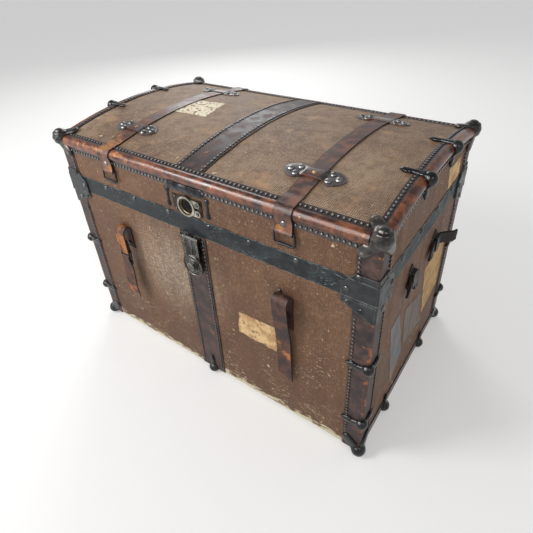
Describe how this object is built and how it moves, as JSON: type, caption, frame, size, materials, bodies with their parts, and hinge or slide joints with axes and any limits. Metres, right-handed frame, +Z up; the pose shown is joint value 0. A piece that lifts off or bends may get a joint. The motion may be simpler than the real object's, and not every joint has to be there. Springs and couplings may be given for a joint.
{
  "type": "dome top trunk",
  "caption": "Dome top travel trunk of canvas covered wood with leather bindings, cast ball bumpers, a hinged lid, a swinging lock hasp and wire loops hanging from its straps.",
  "frame": {"origin": "on the floor under the middle of the wooden case", "axes": "+X along the trunk to its right end, the front with the lock faces -Y, +Z up"},
  "size_m": [0.9369, 0.5634, 0.6372],
  "materials": {
    "wood": "bare board",
    "canvas": "coarse weave, worn",
    "lining_paper": "matt, aged",
    "binding_leather": "worn, waxed",
    "strap_leather": "worn",
    "dark_steel": "worn black",
    "black_iron": "rubbed black",
    "aged_nickel": "aged nickel",
    "aged_brass": "dark, aged",
    "tack_metal": "dull domed heads",
    "label_paper": "torn, aged"
  },
  "bodies": {
    "trunk_body": {"front_board": "wood", "back_board": "wood", "right_end_board": "wood", "left_end_board": "wood", "bottom_board": "wood", "body_canvas": "canvas", "body_lining": "lining_paper", "body_corner_leathers": "binding_leather", "front_centre_band": "binding_leather", "back_centre_band": "binding_leather", "bottom_end_strips": "binding_leather", "body_corner_brackets": "dark_steel", "bottom_corner_bumpers": "black_iron", "upright_clamps": "black_iron", "bottom_end_clamps": "black_iron", "centre_foot_clamps": "black_iron", "hasp_base": "aged_brass", "hinge_body_leaves": "dark_steel", "right_body_strap": "strap_leather", "left_body_strap": "strap_leather", "handle_keepers": "black_iron", "left_handle": "strap_leather", "right_handle_front_stub": "strap_leather", "right_handle_rear_stub": "strap_leather"},
    "lid": {"dome_board": "wood", "lid_front_board": "wood", "lid_back_board": "wood", "lid_right_end_board": "wood", "lid_left_end_board": "wood", "dome_canvas": "canvas", "lid_wall_canvas": "canvas", "lid_lining": "lining_paper", "lid_front_binding": "binding_leather", "lid_back_binding": "binding_leather", "lid_end_bindings": "binding_leather", "lid_corner_leathers": "binding_leather", "dome_centre_band": "binding_leather", "valance_front": "dark_steel", "valance_back": "dark_steel", "valance_ends": "dark_steel", "lid_corner_brackets": "dark_steel", "lid_corner_bumpers": "black_iron", "lid_end_clamps": "black_iron", "left_lid_strap": "strap_leather", "right_lid_strap": "strap_leather", "strap_keepers": "strap_leather", "lock_ring": "aged_nickel", "lock_hood": "dark_steel", "lock_side_bars": "dark_steel", "hinge_lid_leaves": "dark_steel"},
    "hasp": {"hasp": "aged_brass"},
    "lock_barrel": {"lock_barrel": "aged_brass"},
    "left_strap_loop": {"left_strap_loop": "dark_steel"},
    "right_strap_loop": {"right_strap_loop": "dark_steel"},
    "left_buckle": {"left_buckle": "dark_steel", "left_strap_tail": "strap_leather"}
  },
  "joints": [
    {"name": "lid_hinge", "type": "hinge", "parent": "trunk_body", "child": "lid", "pos_m": [0, 0.267, 0.4573], "axis": [-1, 0, 0], "range_deg": [0, 105]},
    {"name": "hasp_swing", "type": "hinge", "parent": "trunk_body", "child": "hasp", "pos_m": [0, -0.271, 0.453], "axis": [-1, 0, 0], "range_deg": [0, 180]},
    {"name": "lock_barrel_turn", "type": "hinge", "parent": "hasp", "child": "lock_barrel", "pos_m": [0, -0.271, 0.377], "axis": [0, -1, 0], "range_deg": [0, 90]},
    {"name": "left_loop_swing", "type": "hinge", "parent": "lid", "child": "left_strap_loop", "pos_m": [-0.248, -0.2643, 0.552], "axis": [-1, 0, 0], "range_deg": [0, 130]},
    {"name": "right_loop_swing", "type": "hinge", "parent": "lid", "child": "right_strap_loop", "pos_m": [0.248, -0.2643, 0.552], "axis": [-1, 0, 0], "range_deg": [0, 130]},
    {"name": "left_buckle_swing", "type": "hinge", "parent": "trunk_body", "child": "left_buckle", "pos_m": [-0.243, -0.281, 0.327], "axis": [-1, 0, 0], "range_deg": [0, 60]}
  ]
}
